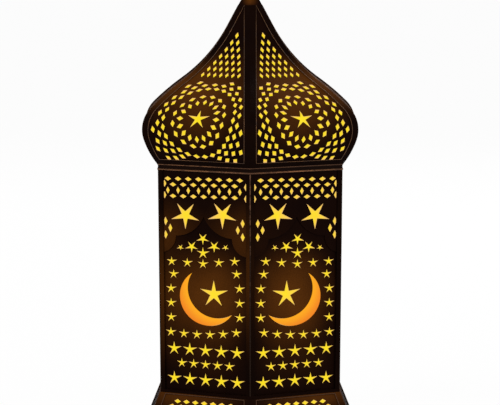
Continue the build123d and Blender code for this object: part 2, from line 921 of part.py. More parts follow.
hinge_levels = [height * grid_rise for height in hinge_heights]
hinge_turn = (0, 0, half_step + hinge_corner * face_step)
hinge_offset = (knuckle_diameter / 2 + knuckle_stand) / half_cos
knuckle_side = hinge_offset * sin(radians(half_step))
post_knuckle = knuckle_length + knuckle_gap
hinge_span = 3 * knuckle_length + 2 * knuckle_gap


def hinge_plane(height, rise):
    """Plane across the hinge line, a rise above the middle of the hinge at a height up the wall."""
    axis = Vector(corner_slope, 0, 1).normalized()
    foot = Vector(base_apothem / half_cos + hinge_offset, 0, z_body)
    return Plane(origin=foot + axis * (height + rise), x_dir=(axis.Z, 0, -axis.X), z_dir=axis)


def knuckle(height, middle):
    """Bored knuckle centred a rise above the middle of a hinge."""
    with BuildSketch(hinge_plane(height, middle - knuckle_length / 2)) as barrel:
        Circle(knuckle_diameter / 2)
    extrude(barrel.sketch, amount=knuckle_length)


def bore_hinge(height):
    """Pin hole through the knuckles of one hinge."""
    with BuildSketch(hinge_plane(height, -hinge_span / 2)) as bore:
        Circle(pin_diameter / 2 + pin_play)
    extrude(bore.sketch, amount=hinge_span, mode=Mode.SUBTRACT)


with BuildPart() as door_leaf_blank:
    for height in hinge_levels:
        edge = wall_half_width(height)
        with BuildSketch(wall_plane(-half_step)):
            with Locations((edge + knuckle_side, height)):
                Rectangle(
                    knuckle_side + leaf_reach, knuckle_length, align=(Align.MAX, Align.CENTER)
                )
        extrude(amount=leaf_thickness)
        knuckle(height, 0)
        bore_hinge(height)
with BuildPart() as door_hinge_leaves:
    add(door_leaf_blank.part, rotation=hinge_turn)
door_hinge_leaves.part.label = "door_hinge_leaves"
export_step(door_hinge_leaves.part, "parts/door_hinge_leaves.step")

with BuildPart() as post_leaf_blank:
    for height in hinge_levels:
        edge = wall_half_width(height)
        with BuildSketch(wall_plane(half_step)):
            with Locations((leaf_setback - edge, height)):
                Rectangle(
                    leaf_reach - leaf_setback, hinge_span, align=(Align.MIN, Align.CENTER)
                )
            with Locations(
                (-edge - knuckle_side, height - post_knuckle),
                (-edge - knuckle_side, height + post_knuckle),
            ):
                Rectangle(
                    knuckle_side + leaf_reach, knuckle_length, align=(Align.MIN, Align.CENTER)
                )
        extrude(amount=leaf_thickness)
        knuckle(height, -post_knuckle)
        knuckle(height, post_knuckle)
        bore_hinge(height)
with BuildPart() as post_hinge_leaves:
    add(post_leaf_blank.part, rotation=hinge_turn)
post_hinge_leaves.part.label = "post_hinge_leaves"
export_step(post_hinge_leaves.part, "parts/post_hinge_leaves.step")

with BuildPart() as pin_blank:
    for height in hinge_levels:
        with BuildSketch(hinge_plane(height, -hinge_span / 2)):
            Circle(pin_diameter / 2)
        extrude(amount=hinge_span)
        with BuildSketch(hinge_plane(height, hinge_span / 2)):
            Circle(knuckle_diameter / 2)
        extrude(amount=pin_head)
with BuildPart() as hinge_pins:
    add(pin_blank.part, rotation=hinge_turn)
hinge_pins.part.label = "hinge_pins"
export_step(hinge_pins.part, "parts/hinge_pins.step")

# Dome: pierced gores, a rib cage over their seams and an amber lining

trim_lead = 4 * sheet


def draw_dome_line(depth, lead):
    """Dome outline at a depth behind its outer skin, with both ends run on by a lead."""
    heading = Vector(cos(radians(dome_foot_angle)), sin(radians(dome_foot_angle)))
    inward = Vector(-heading.Y, heading.X)
    foot = Vector(top_apothem, z_dome) + inward * depth
    if lead:
        Line(foot - heading * lead, foot)
    flank = JernArc(foot, heading, flank_radius - depth, flank_turn)
    bulge = JernArc(flank @ 1, flank % 1, bulge_radius - depth, bulge_turn)
    shoulder = JernArc(bulge @ 1, bulge % 1, shoulder_radius - depth, shoulder_turn)
    neck = JernArc(shoulder @ 1, shoulder % 1, neck_radius + depth, -neck_turn)
    throat = Line(neck @ 1, (neck @ 1) + (neck % 1) * (throat_run + lead))
    return foot - heading * lead, throat @ 1


with BuildLine() as dome_line:
    draw_dome_line(0, 0)
dome_wire = dome_line.wires()[0]
dome_crown = dome_wire @ 1
z_crown = dome_crown.Y


def dome_place(slope):
    """Apothem and level of a place measured up the dome's outer skin."""
    return dome_wire.position_at(slope, position_mode=PositionMode.LENGTH)


def draw_dome_section(front, back):
    """Solid between two depths behind the dome's outer skin, run straight along the +X face."""
    with BuildSketch(Plane.XZ) as section:
        with BuildLine():
            front_low, front_high = draw_dome_line(front, trim_lead)
            back_low, back_high = draw_dome_line(back, trim_lead)
            Line(front_low, back_low)
            Line(front_high, back_high)
        make_face()
    extrude(section.sketch, amount=plan_reach / 2, both=True)


def inside_gore(across, slope):
    """Whether a cut-out centred here stays clear of the ribs, the hem and the lattice."""
    if not hem_height + rosette_margin <= slope + seat_play <= rosette_limit:
        return False
    return abs(across) <= dome_place(slope).X * half_tan - rib_width - field_margin


def gore_cutouts():
    """Triangle of diamonds, star and rings of diamonds on a gore, as places across and levels."""
    cutouts = [star_corners(0, rosette_height, rosette_star)]
    for row in range(lattice_rows):
        slope = lattice_first_row + row * lattice_row_pitch
        for across in mirrored_row(lattice_rows - row, lattice_column_pitch):
            cutouts.append(
                diamond_corners(across, slope, lattice_diamond_length, lattice_diamond_width, 90)
            )
    rings = []
    for index in range(inner_rings):
        rings.append((inner_ring_radius + index * inner_ring_pitch, inner_ring_count, index))
    for index in range(outer_rings):
        rings.append((outer_ring_radius + index * outer_ring_pitch, outer_ring_count, index + 1))
    for radius, count, index in rings:
        for place in range(count):
            direction = 90 + (place + index % 2 / 2) * 360 / count
            across = radius * cos(radians(direction))
            slope = rosette_height + radius * sin(radians(direction))
            turn = direction if radius == inner_ring_radius else direction + 90
            if inside_gore(across, slope):
                cutouts.append(
                    diamond_corners(across, slope, ring_diamond_length, ring_diamond_width, turn)
                )
    return [[(across, dome_place(slope).Y) for across, slope in corners] for corners in cutouts]


with BuildPart() as gore_blank:
    draw_dome_section(0, sheet)
    trim_to_face(z_dome, z_crown, seam)
    with BuildSketch(Plane.YZ):
        add(outline_faces(gore_cutouts()))
    extrude(amount=plan_reach, mode=Mode.SUBTRACT)

for index, face in enumerate(face_names):
    with BuildPart() as dome_gore:
        add(gore_blank.part, rotation=(0, 0, index * face_step))
    dome_gore.part.label = f"dome_gore_{face}"
    export_step(dome_gore.part, f"parts/dome_gore_{face}.step")

with BuildPart() as dome_rib:
    draw_dome_section(-rib_thickness, 0)
    keep_half_face(z_dome, z_crown)
    open_half_window(dome_place(hem_height).Y, z_crown, rib_width)
    mirror(about=corner_mirror)

with BuildPart() as dome_ribs:
    with PolarLocations(0, sides):
        add(dome_rib.part)
dome_ribs.part.label = "dome_ribs"
export_step(dome_ribs.part, "parts/dome_ribs.step")

with BuildPart() as dome_pane:
    draw_dome_section(sheet + slot_play, sheet + slot_play + pane)
    trim_to_face(z_dome, z_crown, seam)

with BuildPart() as dome_panes:
    with PolarLocations(0, sides):
        add(dome_pane.part)
dome_panes.part.label = "dome_panes"
export_step(dome_panes.part, "parts/dome_panes.step")

# Crown, finial and hanging ring

throat_tilt = degrees(atan2(-(dome_wire % 1).X, (dome_wire % 1).Y))
crown_foot = dome_crown.X + rib_thickness / cos(radians(throat_tilt))
plug_depth = sheet + slot_play + pane
plug_apothem = dome_crown.X - (plug_depth + edge_play) / cos(radians(throat_tilt))
z_finial = z_crown + crown_height
z_ball = z_finial + finial_flange_height + finial_ball_diameter / 2
z_eye = z_ball + finial_ball_diameter / 2 + eye_radius

with BuildPart() as crown:
    with BuildSketch(Plane.XY.offset(z_crown)):
        hexagon(crown_foot)
    extrude(amount=crown_height, taper=throat_tilt)
    with BuildSketch(Plane.XY.offset(z_crown)):
        hexagon(plug_apothem)
    extrude(amount=-crown_plug)
    with BuildSketch(Plane.XY.offset(z_crown - crown_plug)):
        Circle(stud_diameter / 2 + slot_play)
    extrude(amount=crown_plug + crown_height, mode=Mode.SUBTRACT)
crown.part.label = "crown"
export_step(crown.part, "parts/crown.step")

with BuildPart() as finial:
    with BuildSketch(Plane.XY.offset(z_crown - crown_plug - nut_height)):
        Circle(stud_diameter / 2)
    extrude(amount=z_ball - z_crown + crown_plug + nut_height)
    with BuildSketch(Plane.XY.offset(z_finial)):
        Circle(finial_flange_diameter / 2)
    extrude(amount=finial_flange_height)
    with Locations((0, 0, z_ball)):
        Sphere(finial_ball_diameter / 2)
    with Locations(Plane((0, 0, z_eye), x_dir=(0, 1, 0), z_dir=(1, 0, 0))):
        Torus(eye_radius, eye_wire / 2)
finial.part.label = "finial"
export_step(finial.part, "parts/finial.step")

with BuildPart() as finial_nut:
    with BuildSketch(Plane.XY.offset(z_crown - crown_plug - nut_height)):
        RegularPolygon(nut_flats / 2, nut_sides, major_radius=False)
        Circle(stud_diameter / 2 + slot_play, mode=Mode.SUBTRACT)
    extrude(amount=nut_height)
finial_nut.part.label = "finial_nut"
export_step(finial_nut.part, "parts/finial_nut.step")

ring_fall = radians(ring_rest_angle)
ring_place = Plane(
    origin=(0, ring_radius * sin(ring_fall), z_eye + ring_radius * cos(ring_fall)),
    x_dir=(1, 0, 0),
    z_dir=(0, cos(ring_fall), -sin(ring_fall)),
)
with BuildPart() as hanging_ring:
    with Locations(ring_place):
        Torus(ring_radius, ring_wire / 2)
hanging_ring.part.label = "hanging_ring"
export_step(hanging_ring.part, "parts/hanging_ring.step")

# Battery candle

z_box = z_plinth + box_inner_height + box_wall
z_candle = z_box + cup_wall
z_candle_top = z_candle + candle_height
candle_bore = candle_diameter / 2 - candle_wall
led_hole = led_diameter / 2 + edge_play

with BuildPart() as battery_box:
    with BuildSketch(Plane.XY.offset(z_plinth)):
        Rectangle(box_inner_length + 2 * box_wall, box_inner_width + 2 * box_wall)
    extrude(amount=box_inner_height + box_wall)
    with BuildSketch(Plane.XY.offset(z_plinth)):
        Rectangle(box_inner_length, box_inner_width)
    extrude(amount=box_inner_height, mode=Mode.SUBTRACT)
    with BuildSketch(Plane.XY.offset(z_box)):
        Circle(lead_hole / 2)
    extrude(amount=-box_wall, mode=Mode.SUBTRACT)
battery_box.part.label = "battery_box"
export_step(battery_box.part, "parts/battery_box.step")

with BuildPart() as battery_cells:
    z_cells = z_plinth + cell_play + cell_diameter / 2
    cell_row = mirrored_row(cell_count, cell_diameter + cell_play)
    with BuildSketch(Plane.YZ.offset(-cell_length / 2)):
        with Locations(*[(place, z_cells) for place in cell_row]):
            Circle(cell_diameter / 2)
    extrude(amount=cell_length)
battery_cells.part.label = "battery_cells"
export_step(battery_cells.part, "parts/battery_cells.step")

with BuildPart() as battery_cover:
    with BuildSketch(Plane.XY.offset(z_base_plate)):
        Rectangle(box_inner_length - 2 * edge_play, box_inner_width - 2 * edge_play)
    extrude(amount=base_plate_thickness)
    with BuildSketch(Plane.XY.offset(z_base_plate)):
        Rectangle(box_inner_length + 2 * cover_lip, box_inner_width + 2 * cover_lip)
    extrude(amount=-cover_thickness)
battery_cover.part.label = "battery_cover"
export_step(battery_cover.part, "parts/battery_cover.step")

with BuildPart() as candle_cup:
    with BuildSketch(Plane.XY.offset(z_box)):
        Circle(cup_diameter / 2)
    extrude(amount=cup_rim)
    with BuildSketch(Plane.XY.offset(z_candle)):
        Circle(cup_diameter / 2 - cup_wall)
    extrude(amount=cup_rim - cup_wall, mode=Mode.SUBTRACT)
    with BuildSketch(Plane.XY.offset(z_box)):
        Circle(lead_hole / 2)
    extrude(amount=cup_wall, mode=Mode.SUBTRACT)
candle_cup.part.label = "candle_cup"
export_step(candle_cup.part, "parts/candle_cup.step")

with BuildPart() as candle_body:
    with BuildSketch(Plane.XY.offset(z_candle)):
        Circle(candle_diameter / 2)
    extrude(amount=candle_height)
    with BuildSketch(Plane.XY.offset(z_candle)):
        Circle(candle_bore)
    extrude(amount=candle_height - candle_top, mode=Mode.SUBTRACT)
    with BuildSketch(Plane.XY.offset(z_candle_top)):
        Circle(led_hole)
    extrude(amount=-candle_top, mode=Mode.SUBTRACT)
candle_body.part.label = "candle_body"
export_step(candle_body.part, "parts/candle_body.step")

z_board = z_candle_top - candle_top - board_thickness
with BuildPart() as led_board:
    with BuildSketch(Plane.XY.offset(z_board)):
        Circle(candle_bore - edge_play)
    extrude(amount=board_thickness)
    with BuildSketch(Plane.XY.offset(z_board + board_thickness)):
        Circle(led_diameter / 2)
    extrude(amount=led_height - led_diameter / 2)
    with Locations((0, 0, z_board + board_thickness + led_height - led_diameter / 2)):
        Sphere(led_diameter / 2)
led_board.part.label = "led_board"
export_step(led_board.part, "parts/led_board.step")

with BuildPart() as led_leads:
    with BuildSketch(Plane.XY.offset(z_box - box_wall)):
        with Locations((-lead_spacing / 2, 0), (lead_spacing / 2, 0)):
            Circle(lead_diameter / 2)
    extrude(amount=z_board - z_box + box_wall)
led_leads.part.label = "led_leads"
export_step(led_leads.part, "parts/led_leads.step")

flame_cavity = led_height - candle_top + edge_play
with BuildPart() as flame_lens:
    with BuildSketch(Plane.XZ):
        with BuildLine():
            foot = Line((led_hole, z_candle_top), (flame_foot / 2, z_candle_top))
            swell = ThreePointArc(
                foot @ 1,
                (flame_diameter / 2, z_candle_top + flame_belly),
                (flame_foot / 2, z_candle_top + 2 * flame_belly),
            )
            tip = Line(swell @ 1, (0, z_candle_top + flame_height))
            core = Line(tip @ 1, (0, z_candle_top + flame_cavity))
            roof = Line(core @ 1, (led_hole, z_candle_top + flame_cavity))
            Line(roof @ 1, foot @ 0)
        make_face()
    revolve(axis=Axis.Z)
flame_lens.part.label = "flame_lens"
export_step(flame_lens.part, "parts/flame_lens.step")

# Slide switch

with BuildPart() as switch_body:
    with BuildSketch(Plane.XY.offset(z_plinth)):
        with Locations((0, -switch_offset)):
            Rectangle(switch_length, switch_width)
    extrude(amount=switch_height)
    with BuildSketch(Plane.XY.offset(z_plinth)):
        with Locations((0, -switch_offset)):
            Rectangle(slot_length, slot_width)
    extrude(amount=slider_stem_depth + slider_play, mode=Mode.SUBTRACT)
switch_body.part.label = "switch_body"
export_step(switch_body.part, "parts/switch_body.step")

with BuildPart() as switch_slider:
    with BuildSketch(Plane.XY.offset(z_base_plate - slider_play)):
        with Locations((-slider_travel / 2, -switch_offset)):
            Rectangle(slider_stem_length, slider_stem_width)
    extrude(amount=z_plinth + slider_stem_depth - z_base_plate + slider_play)
    with BuildSketch(Plane.XY.offset(z_base_plate - slider_play)):
        with Locations((-slider_travel / 2, -switch_offset)):
            Rectangle(slider_pad_length, switch_width)
    extrude(amount=-slider_pad_height)
switch_slider.part.label = "switch_slider"
export_step(switch_slider.part, "parts/switch_slider.step")
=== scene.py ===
"""Looks of the hexagonal pierced lantern: painted sheet, lit panes, bronze beading and a plain studio."""

import logging
from dataclasses import dataclass
from enum import Enum
from math import atan2, cos, pi, radians, sin

import bmesh
import bpy
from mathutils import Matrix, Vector


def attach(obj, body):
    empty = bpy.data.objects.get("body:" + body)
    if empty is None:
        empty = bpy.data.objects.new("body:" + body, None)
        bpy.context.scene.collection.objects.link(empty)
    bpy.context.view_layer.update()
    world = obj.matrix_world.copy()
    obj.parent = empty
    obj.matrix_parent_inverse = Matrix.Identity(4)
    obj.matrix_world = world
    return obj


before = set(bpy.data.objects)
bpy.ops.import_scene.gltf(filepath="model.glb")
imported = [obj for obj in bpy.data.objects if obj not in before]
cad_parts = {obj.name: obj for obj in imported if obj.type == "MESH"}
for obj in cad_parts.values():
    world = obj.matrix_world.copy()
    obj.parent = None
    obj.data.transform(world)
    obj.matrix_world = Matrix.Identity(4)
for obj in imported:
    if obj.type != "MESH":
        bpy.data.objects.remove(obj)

Colour = tuple[float, float, float]
Place = tuple[float, float, float]
Span = tuple[float, float]

log = logging.getLogger("lantern")

SIDES = 6
FACE_STEP = 2 * pi / SIDES
MM = 0.001
NOISE_MEAN = 0.5

# Heights above the floor at which the lantern's storeys begin, in metres
Z_SKIRT = 0.016
Z_BODY = 0.050
Z_DOME = 0.267
Z_CROWN = 0.4151
CORNICE_TOP = Z_DOME
CORNICE_FOOT = Z_DOME - 0.0048

# How far inside a storey its beads begin and end
FOOT_GAP = MM
HEAD_GAP = MM / 2

# Sockets that are used by their number, because their names are shared or long
PLACE_NORMAL = 1
PLACE_OBJECT = 3
OCCLUSION_SHARE = 1
VECTOR_NUMBER = 1
RANGE_LOW = 1
RANGE_HIGH = 2
RANGE_FIRST = 3
RANGE_LAST = 4
MIX_SHARE = 0
MIX_FIRST = 6
MIX_SECOND = 7
MIX_COLOUR = 2
RAY_CAMERA = 0
RAY_GLOSSY = 3
RAY_TRANSMITTED = 6


class Side(Enum):
    """Where a bead runs on a piece: along a step in its skin or along a ridge of it."""

    STEP = "step"
    RIDGE = "ridge"


class Value:
    """A socket of a material's node tree that takes part in Python expressions."""

    def __init__(self, shader: "Shader", socket: bpy.types.NodeSocket) -> None:
        """Keep the socket and the shader that it belongs to."""
        self.shader = shader
        self.socket = socket

    def maths(self, operation: str, *others: "float | Value") -> "Value":
        """Add a Math node whose first input is this value.

        Args:
            operation: Name of the Math node's operation.
            others: Further inputs, in order.

        Returns:
            The node's result.
        """
        inputs = dict(enumerate((self, *others)))
        return self.shader.node("ShaderNodeMath", {"operation": operation}, inputs)

    def turned(self, operation: str, first: float) -> "Value":
        """Add a Math node with a number before this value."""
        return self.shader.node("ShaderNodeMath", {"operation": operation}, {0: first, 1: self})

    def __add__(self, other: "float | Value") -> "Value":
        """Sum."""
        return self.maths("ADD", other)

    def __radd__(self, other: float) -> "Value":
        """Sum with a number first."""
        return self.turned("ADD", other)

    def __sub__(self, other: "float | Value") -> "Value":
        """Difference."""
        return self.maths("SUBTRACT", other)

    def __rsub__(self, other: float) -> "Value":
        """Difference with a number first."""
        return self.turned("SUBTRACT", other)

    def __mul__(self, other: "float | Value") -> "Value":
        """Product."""
        return self.maths("MULTIPLY", other)

    def __rmul__(self, other: float) -> "Value":
        """Product with a number first."""
        return self.turned("MULTIPLY", other)

    def __truediv__(self, other: "float | Value") -> "Value":
        """Quotient."""
        return self.maths("DIVIDE", other)

    def __rtruediv__(self, other: float) -> "Value":
        """Quotient with a number first."""
        return self.turned("DIVIDE", other)

    def smooth(self, low: float, high: float) -> "Value":
        """Ease from 0 at low to 1 at high.

        Args:
            low: Value that gives 0.
            high: Value that gives 1.

        Returns:
            The eased value.
        """
        settings = {"interpolation_type": "SMOOTHSTEP"}
        inputs = {"Value": self, RANGE_LOW: low, RANGE_HIGH: high, RANGE_FIRST: 0.0, RANGE_LAST: 1.0}
        return self.shader.node("ShaderNodeMapRange", settings, inputs)


Input = float | tuple[float, ...] | Value


class Shader:
    """The surface of a material or of the sky, built node by node."""

    def __init__(self, holder: bpy.types.Material | bpy.types.World) -> None:
        """Empty a node tree and give it an output.

        Args:
            holder: The material or world that holds the tree.
        """
        holder.use_nodes = True
        self.holder = holder
        self.tree = holder.node_tree
        self.tree.nodes.clear()
        kind = "World" if isinstance(holder, bpy.types.World) else "Material"
        self.output = self.tree.nodes.new(f"ShaderNodeOutput{kind}")

    @staticmethod
    def new(name: str) -> "Shader":
        """Start a new material."""
        return Shader(bpy.data.materials.new(name))

    def node(
        self,
        kind: str,
        settings: dict[str, object] | None = None,
        inputs: dict[str | int, Input] | None = None,
        output: int = 0,
    ) -> Value:
        """Add a node.

        Args:
            kind: Blender's name of the node's type.
            settings: The node's own settings, set first.
            inputs: Values or links of its sockets, by name or number.
            output: Number of the socket that is returned.

        Returns:
            The chosen output.
        """
        made = self.tree.nodes.new(kind)
        for name, value in (settings or {}).items():
            setattr(made, name, value)
        for name, value in (inputs or {}).items():
            if isinstance(value, Value):
                self.tree.links.new(value.socket, made.inputs[name])
            else:
                made.inputs[name].default_value = value
        return Value(self, made.outputs[output])

    def mix(self, amount: Value, first: Input, second: Input) -> Value:
        """Mix two colours.

        Args:
            amount: Share of the second colour.
            first: Colour or link at 0.
            second: Colour or link at 1.

        Returns:
            The mixed colour.
        """
        inputs = {MIX_SHARE: amount, MIX_FIRST: solid(first), MIX_SECOND: solid(second)}
        return self.node("ShaderNodeMix", {"data_type": "RGBA"}, inputs, output=MIX_COLOUR)

    def place(self) -> Value:
        """Place on the piece, in the frame's metres."""
        return self.node("ShaderNodeTexCoord", output=PLACE_OBJECT)

    def noise(self, scale: float, detail: float = 3.0, stretch: Place = (1.0, 1.0, 1.0)) -> Value:
        """Soft random variation over a piece.

        Args:
            scale: Waves in a metre.
            detail: Octaves.
            stretch: How much finer the pattern is along each axis.

        Returns:
            A value around one half.
        """
        inputs = {0: self.place(), 1: stretch}
        vector = self.node("ShaderNodeVectorMath", {"operation": "MULTIPLY"}, inputs)
        inputs = {"Vector": vector, "Scale": scale, "Detail": detail}
        return self.node("ShaderNodeTexNoise", None, inputs)

    def bump(self, height: Value, depth: float) -> Value:
        """Surface normal for a height.

        Args:
            height: Height, in units of the depth.
            depth: Depth in metres.

        Returns:
            The normal.
        """
        return self.node("ShaderNodeBump", None, {"Strength": 1.0, "Distance": depth, "Height": height})

    def surface(self, **inputs: Input) -> bpy.types.Material:
        """Finish the material with a Principled surface.

        Args:
            inputs: Its sockets, with underscores for spaces.

        Returns:
            The material.
        """
        named = {name.replace("_", " "): solid(value) for name, value in inputs.items()}
        if "Specular Level" in named:
            named["Specular IOR Level"] = named.pop("Specular Level")
        self.finish(self.node("ShaderNodeBsdfPrincipled", None, named))
        return self.holder

    def finish(self, surface: Value) -> None:
        """Send a surface to the output."""
        self.tree.links.new(surface.socket, self.output.inputs["Surface"])


def solid(value: Input) -> Input:
    """Give a colour of three numbers its alpha.

    Args:
        value: A colour, a number or a link.

    Returns:
        The colour with an alpha of 1, and anything else as it is.
    """
    if isinstance(value, tuple) and len(value) == 3:
        return (*value, 1.0)
    return value


@dataclass(frozen=True)
class WallPlace:
    """Where a point lies on its own face of the lantern."""

    mirrored: Value
    height: Value
    outward: Value
    right: Value

    @staticmethod
    def of(shader: Shader) -> "WallPlace":
        """Fold the plan onto one face.

        Args:
            shader: Material that the nodes go into.

        Returns:
            Distances in metres across the face, with neighbouring faces mirrored, and up; then how
            squarely the surface looks out of the face, from 1 to -1, and 1 on the lantern's right half.
        """
        place = shader.place()
        parts = [shader.node("ShaderNodeSeparateXYZ", None, {0: place}, output=axis) for axis in range(3)]
        turns = parts[1].maths("ARCTAN2", parts[0]) / FACE_STEP
        face = turns.maths("ROUND")
        swing = (turns - face) * FACE_STEP
        radius = (parts[0] * parts[0] + parts[1] * parts[1]).maths("SQRT")
        across = radius * swing.maths("SINE")
        hand = 1 - 2 * face.maths("ABSOLUTE").maths("MODULO", 2.0)
        normal = shader.node("ShaderNodeTexCoord", output=PLACE_NORMAL)
        lean = [shader.node("ShaderNodeSeparateXYZ", None, {0: normal}, output=axis) for axis in range(2)]
        bearing = face * FACE_STEP
        outward = lean[0] * bearing.maths("COSINE") + lean[1] * bearing.maths("SINE")
        right = parts[0].smooth(-MM, MM)
        return WallPlace(across * hand, parts[2], outward, right)


@dataclass(frozen=True)
class Glow:
    """A patch of painted light on each face, as an ellipse that fades to its edge.

    The right half of the lantern shows the given share of it, which paints that half in shade.
    """

    across: float
    height: float
    half_width: float
    half_height: float
    strength: float
    right: float = 1.0

    def amount(self, place: WallPlace) -> Value:
        """How much painted light a place gets.

        Args:
            place: The place on its face.

        Returns:
            From 0 outside to the glow's strength at its middle.
        """
        run = (place.mirrored - self.across) / self.half_width
        rise = (place.height - self.height) / self.half_height
        reach = (run * run + rise * rise).maths("SQRT")
        here = (1 - reach).smooth(0.0, 1.0) * self.strength
        if self.right == 1.0:
            return here
        # The right half gets only its share: painted shade on that side.
        return here * (1 - (1 - self.right) * place.right)


@dataclass(frozen=True)
class SheetPaint:
    """Black-brown lacquer on sheet metal with fine brush marks, and warm painted light where the light
    behind it would fall.
    """

    name: str
    deep: Colour = (0.0030, 0.0009, 0.0007)
    warm: Colour = (0.074, 0.0220, 0.0026)
    worn: Colour = (0.022, 0.0098, 0.0048)
    painted_glows: tuple[Glow, ...] = ()
    roughness: float = 0.52
    specular: float = 0.010
    cloud_waves: float = 38.0
    cloud_least: float = 0.72
    cloud_swing: float = 0.56
    brush_waves: float = 260.0
    brush_run: Place = (1.0, 1.0, 0.16)
    brush_gloss: float = 0.22
    rub_waves: float = 900.0
    rub_fleck: Span = (0.66, 0.80)
    rub_cloud: Span = (0.46, 0.66)
    rub_share: float = 0.6
    rub_gloss: float = 0.08
    peel_waves: float = 1400.0
    peel_share: float = 0.55
    peel_depth: float = 0.06 * MM
    base_warmth: float = 0.06

    def material(self) -> bpy.types.Material:
        """Make the lacquer.

        Returns:
            The material.
        """
        shader = Shader.new(self.name)
        place = WallPlace.of(shader)
        cloud = shader.noise(self.cloud_waves, detail=4.0)
        brush = shader.noise(self.brush_waves, detail=2.0, stretch=self.brush_run)
        warmth = cloud * self.base_warmth
        # Painted light: each glow adds a warm patch where light from the panes would fall; the cloud share
        # above is random tone.
        for glow in self.painted_glows:
            warmth = warmth + glow.amount(place) * (self.cloud_least + self.cloud_swing * cloud)
        colour = shader.mix(warmth.maths("MINIMUM", 1.0), self.deep, self.warm)
        flecks = shader.noise(self.rub_waves)
        # Rub flecks placed at random: wear of the lacquer.
        wear_and_highlight = flecks.smooth(*self.rub_fleck) * cloud.smooth(*self.rub_cloud)
        colour = shader.mix(wear_and_highlight * self.rub_share, colour, self.worn)
        rough = self.roughness + (brush - NOISE_MEAN) * self.brush_gloss + wear_and_highlight * self.rub_gloss
        peel = shader.noise(self.peel_waves, detail=1.0)
        relief = peel * self.peel_share + brush * (1 - self.peel_share)
        return shader.surface(
            Base_Color=colour,
            Roughness=rough,
            Specular_Level=self.specular,
            Normal=shader.bump(relief, self.peel_depth),
        )


@dataclass(frozen=True)
class LitPane:
    """Translucent pane lit from behind, whose glow is painted light: yellow where the cut-out is open,
    and peach in its narrow corners as painted shade from the sheet in front.

    Deep glow patches are painted shade, where the corners are deeper. The inner side is frosted and
    shows the candle's light as painted light, which fades away from the flame.
    """

    name: str
    core: Colour = (0.94, 0.74, 0.006)
    middle: Colour = (0.98, 0.66, 0.060)
    rim: Colour = (0.92, 0.55, 0.190)
    body: Colour = (0.030, 0.012, 0.002)
    shut: float = 0.20
    half_open: float = 0.50
    open: float = 0.80
    reach: float = 0.004
    deep_glow_patches: tuple[Glow, ...] = (
        Glow(0.0, Z_BODY + 0.172, 0.075, 0.024, 1.0),
        Glow(0.004, Z_BODY + 0.095, 0.032, 0.032, 0.95),
    )
    lit_inside: Colour = (0.86, 0.40, 0.035)
    dim_inside: Colour = (0.150, 0.046, 0.004)
    flame_place: Place = (0.0, 0.0, 0.155)
    near: float = 0.060
    far: float = 0.175
    deepening: float = 0.32
    streak_waves: float = 170.0
    streak_least: float = 0.80
    streak_swing: float = 0.40
    streak_tint: float = 0.1
    ripple_waves: float = 420.0
    ripple_depth: float = 0.12 * MM
    ripple_gloss: float = 0.16
    haze_least: float = 0.72
    haze_streak: float = 0.20
    haze_frost: float = 0.36
    frost_waves: float = 55.0
    roughness: float = 0.22
    specular: float = 0.04
    brightness: float = 0.96
    rays: int = 12
    rim_lean: float = 0.35
    rim_fade: float = 0.3

    def material(self) -> bpy.types.Material:
        """Make the lit pane.

        Returns:
            The material.
        """
        shader = Shader.new(self.name)
        # Painted shade: occlusion by the sheet in front turns the glow peach in narrow corners and leaves
        # it yellow where the cut-out is open.
        settings = {"samples": self.rays, "only_local": False}
        inputs = {"Distance": self.reach}
        light = shader.node("ShaderNodeAmbientOcclusion", settings, inputs, output=OCCLUSION_SHARE)
        streak = shader.noise(self.streak_waves, detail=2.0)
        place = WallPlace.of(shader)
        # Painted shade: the deep glow patches push the glow towards peach there.
        deep_glow_share = sum(patch.amount(place) for patch in self.deep_glow_patches)
        light = light * (self.streak_least + self.streak_swing * streak) * (1 - self.deepening * deep_glow_share)
        glow = shader.mix(light.smooth(self.shut, self.half_open), self.rim, self.middle)
        glow = shader.mix(light.smooth(self.half_open, self.open), glow, self.core)
        glow = shader.mix(self.inner_side(shader), glow, self.candle_light(shader, streak))
        ripple = shader.noise(self.ripple_waves, detail=2.0)
        return shader.surface(
            Base_Color=shader.mix(streak * self.streak_tint, self.body, self.rim),
            Roughness=self.roughness + self.ripple_gloss * ripple,
            Specular_Level=self.specular,
            # The emission is painted light, standing in for the candle's light through the pane.
            Emission_Color=glow,
            Emission_Strength=self.brightness,
            Normal=shader.bump(ripple, self.ripple_depth),
        )

    def inner_side(self, shader: Shader) -> Value:
        """Which side of the pane a place is on.

        Args:
            shader: Material that the nodes go into.

        Returns:
            1 on the side that faces the candle and on the rims, and 0 on the side that faces out.
        """
        return (self.rim_lean - WallPlace.of(shader).outward).smooth(0.0, self.rim_fade)

    def candle_light(self, shader: Shader, streak: Value) -> Value:
        """Painted glow of the inner side.

        Args:
            shader: Material that the nodes go into.
            streak: Soft variation of the pane.

        Returns:
            A colour that is bright beside the flame and dim far from it.
        """
        inputs = {0: shader.place(), 1: self.flame_place}
        away = shader.node("ShaderNodeVectorMath", {"operation": "DISTANCE"}, inputs, output=VECTOR_NUMBER)
        frost = shader.noise(self.frost_waves, detail=4.0)
        reach = away * (self.haze_least + self.haze_streak * streak + self.haze_frost * frost)
        return shader.mix(reach.smooth(self.near, self.far), self.lit_inside, self.dim_inside)


